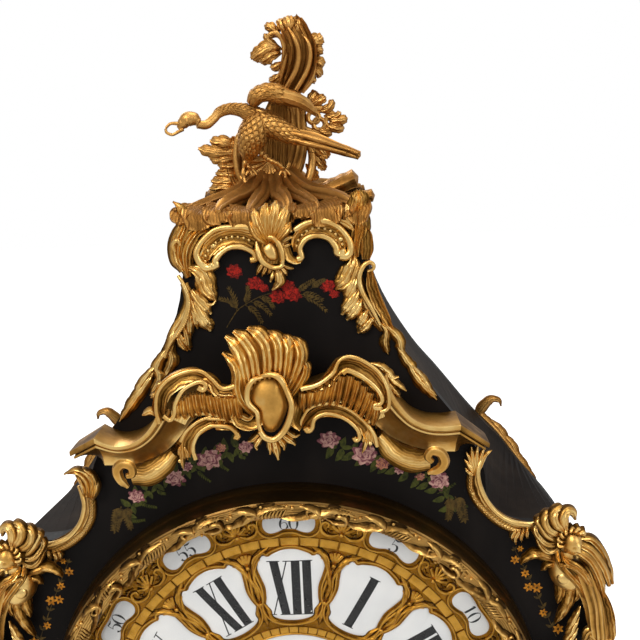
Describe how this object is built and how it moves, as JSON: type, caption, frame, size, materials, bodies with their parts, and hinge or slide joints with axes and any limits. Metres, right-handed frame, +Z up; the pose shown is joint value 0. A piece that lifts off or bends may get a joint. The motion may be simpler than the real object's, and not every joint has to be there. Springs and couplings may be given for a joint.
{
  "type": "cartel clock",
  "caption": "Waisted black-lacquered bracket clock with gilt scrolled mounts, glazed bezel, enamel-plaque dial, going and striking trains, bell and pendulum.",
  "frame": {"origin": "on the floor under the middle of the case, midway between the front of the cornice and the back of the rear mounts", "axes": "+Z up; -Y is the dial's face; +X is to the right seen from the front"},
  "size_m": [0.3924, 0.1982, 0.8685],
  "materials": {
    "lacquer": "black satin lacquer over wood",
    "plain_wood": "plain dark wood",
    "gilt": "matte cast gilding",
    "dark_gilt": "darkened matte cast gilding",
    "dial_gilt": "matte cast gilding",
    "enamel": "white fired enamel on copper",
    "clear_glass": "clear",
    "movement_brass": "lacquered satin brass",
    "bell_metal": "turned bell metal",
    "steel": "polished steel",
    "blued_steel": "blued"
  },
  "bodies": {
    "case": {"front_panel": "lacquer", "side_panel_left": "lacquer", "side_panel_right": "lacquer", "roof_board": "lacquer", "base_board": "lacquer", "back_frame": "lacquer", "seat_board": "plain_wood", "finial_pedestal": "dark_gilt", "finial_bird": "dark_gilt", "crest_mount": "gilt", "corner_mount_left": "gilt", "corner_mount_right": "gilt", "cornice_left": "gilt", "cornice_right": "gilt", "cornice_shell": "gilt", "shoulder_mount_left": "gilt", "shoulder_mount_right": "gilt", "bust_left": "gilt", "bust_right": "gilt", "rear_corner_mounts": "dark_gilt", "lower_mounts": "gilt", "lenticle_frame": "gilt", "lenticle_glass": "clear_glass", "feet": "gilt", "dial_plate": "dial_gilt", "hour_plaques": "enamel", "minute_plaques": "enamel", "centre_enamel": "enamel", "front_plate": "movement_brass", "back_plate": "movement_brass", "plate_pillars": "movement_brass", "back_brackets": "movement_brass", "bell": "bell_metal", "bezel_hinge_fixed": "dark_gilt", "door_hinge_fixed": "movement_brass"},
    "bezel": {"bezel_ring": "dark_gilt", "bezel_foliage": "dial_gilt", "bezel_glass": "clear_glass"},
    "rear_door": {"rear_door": "lacquer", "door_hinge_leaves": "movement_brass"},
    "door_button": {"door_button": "movement_brass"},
    "minute": {"centre_arbor": "steel", "minute_hand": "blued_steel"},
    "hour": {"hour_wheel": "movement_brass", "hour_hand": "blued_steel"},
    "minute_wheel": {"minute_wheel": "movement_brass"},
    "intermediate": {"intermediate_wheel": "movement_brass"},
    "going_barrel": {"going_barrel": "movement_brass"},
    "going_winding_arbor": {"going_winding_arbor": "steel"},
    "third": {"third_wheel": "movement_brass"},
    "fourth": {"fourth_wheel": "movement_brass"},
    "escape": {"escape_wheel": "movement_brass"},
    "anchor": {"pallet_anchor": "steel"},
    "pendulum": {"pendulum_rod": "steel", "pendulum_bob": "movement_brass"},
    "strike_barrel": {"strike_barrel": "movement_brass"},
    "strike_winding_arbor": {"strike_winding_arbor": "steel"},
    "pin_wheel": {"pin_wheel": "movement_brass"},
    "fly": {"fly": "movement_brass"},
    "hammer": {"hammer": "steel"}
  },
  "joints": [
    {"name": "bezel_hinge", "type": "hinge", "parent": "case", "child": "bezel", "pos_m": [0.155, -0.071, 0.45], "axis": [0, 0, 1], "range_deg": [0, 100]},
    {"name": "rear_door_hinge", "type": "hinge", "parent": "case", "child": "rear_door", "pos_m": [-0.09, 0.096, 0.365], "axis": [0, 0, 1], "range_deg": [0, 120]},
    {"name": "door_button_turn", "type": "hinge", "parent": "case", "child": "door_button", "pos_m": [0.096, 0.095, 0.43], "axis": [0, -1, 0], "range_deg": [0, 90]},
    {"name": "minute_spin", "type": "hinge", "parent": "case", "child": "minute", "pos_m": [0, -0.035, 0.45], "axis": [0, 1, 0], "continuous": true},
    {"name": "hour_spin", "type": "hinge", "parent": "case", "child": "hour", "pos_m": [0, -0.045, 0.45], "axis": [0, 1, 0], "continuous": true},
    {"name": "minute_wheel_spin", "type": "hinge", "parent": "case", "child": "minute_wheel", "pos_m": [0, -0.042, 0.4308], "axis": [0, 1, 0], "continuous": true},
    {"name": "intermediate_spin", "type": "hinge", "parent": "case", "child": "intermediate", "pos_m": [0.02482, -0.012, 0.44562], "axis": [0, 1, 0], "continuous": true},
    {"name": "going_barrel_spin", "type": "hinge", "parent": "case", "child": "going_barrel", "pos_m": [0.0292, -0.021, 0.41443], "axis": [0, 1, 0], "continuous": true},
    {"name": "third_spin", "type": "hinge", "parent": "case", "child": "third", "pos_m": [-0.01372, -0.012, 0.47113], "axis": [0, 1, 0], "continuous": true},
    {"name": "fourth_spin", "type": "hinge", "parent": "case", "child": "fourth", "pos_m": [-0.01236, -0.012, 0.49059], "axis": [0, 1, 0], "continuous": true},
    {"name": "escape_spin", "type": "hinge", "parent": "case", "child": "escape", "pos_m": [0, -0.012, 0.49601], "axis": [0, 1, 0], "continuous": true},
    {"name": "going_winding_spin", "type": "hinge", "parent": "case", "child": "going_winding_arbor", "pos_m": [0.0292, -0.021, 0.41443], "axis": [0, 1, 0], "continuous": true},
    {"name": "strike_barrel_spin", "type": "hinge", "parent": "case", "child": "strike_barrel", "pos_m": [-0.0292, -0.021, 0.41443], "axis": [0, 1, 0], "continuous": true},
    {"name": "pin_wheel_spin", "type": "hinge", "parent": "case", "child": "pin_wheel", "pos_m": [-0.02482, -0.012, 0.44562], "axis": [0, 1, 0], "continuous": true},
    {"name": "fly_spin", "type": "hinge", "parent": "case", "child": "fly", "pos_m": [-0.04136, -0.012, 0.45951], "axis": [0, 1, 0], "continuous": true},
    {"name": "strike_winding_spin", "type": "hinge", "parent": "case", "child": "strike_winding_arbor", "pos_m": [-0.0292, -0.021, 0.41443], "axis": [0, 1, 0], "continuous": true},
    {"name": "hammer_pivot", "type": "hinge", "parent": "case", "child": "hammer", "pos_m": [-0.046, -0.01, 0.506], "axis": [0, -1, 0], "range_deg": [0, 12], "stiffness_Nm_per_rad": 0.02, "springref_deg": -5.73},
    {"name": "pendulum_swing", "type": "hinge", "parent": "case", "child": "pendulum", "pos_m": [0, 0.035, 0.51301], "axis": [0, 1, 0], "range_deg": [-4, 4]},
    {"name": "anchor_rock", "type": "hinge", "parent": "case", "child": "anchor", "pos_m": [0, -0.012, 0.51301], "axis": [0, 1, 0], "range_deg": [-4, 4]}
  ],
  "couplings": [
    {"joint": "hour_spin", "follows": "minute_spin", "ratio": 0.083333},
    {"joint": "minute_wheel_spin", "follows": "minute_spin", "ratio": -0.33333},
    {"joint": "intermediate_spin", "follows": "minute_spin", "ratio": -0.2},
    {"joint": "going_barrel_spin", "follows": "minute_spin", "ratio": 0.033333},
    {"joint": "third_spin", "follows": "minute_spin", "ratio": -6},
    {"joint": "fourth_spin", "follows": "minute_spin", "ratio": 33},
    {"joint": "escape_spin", "follows": "minute_spin", "ratio": -132},
    {"joint": "pin_wheel_spin", "follows": "strike_barrel_spin", "ratio": -6},
    {"joint": "fly_spin", "follows": "strike_barrel_spin", "ratio": 30},
    {"joint": "anchor_rock", "follows": "pendulum_swing", "ratio": 1}
  ]
}
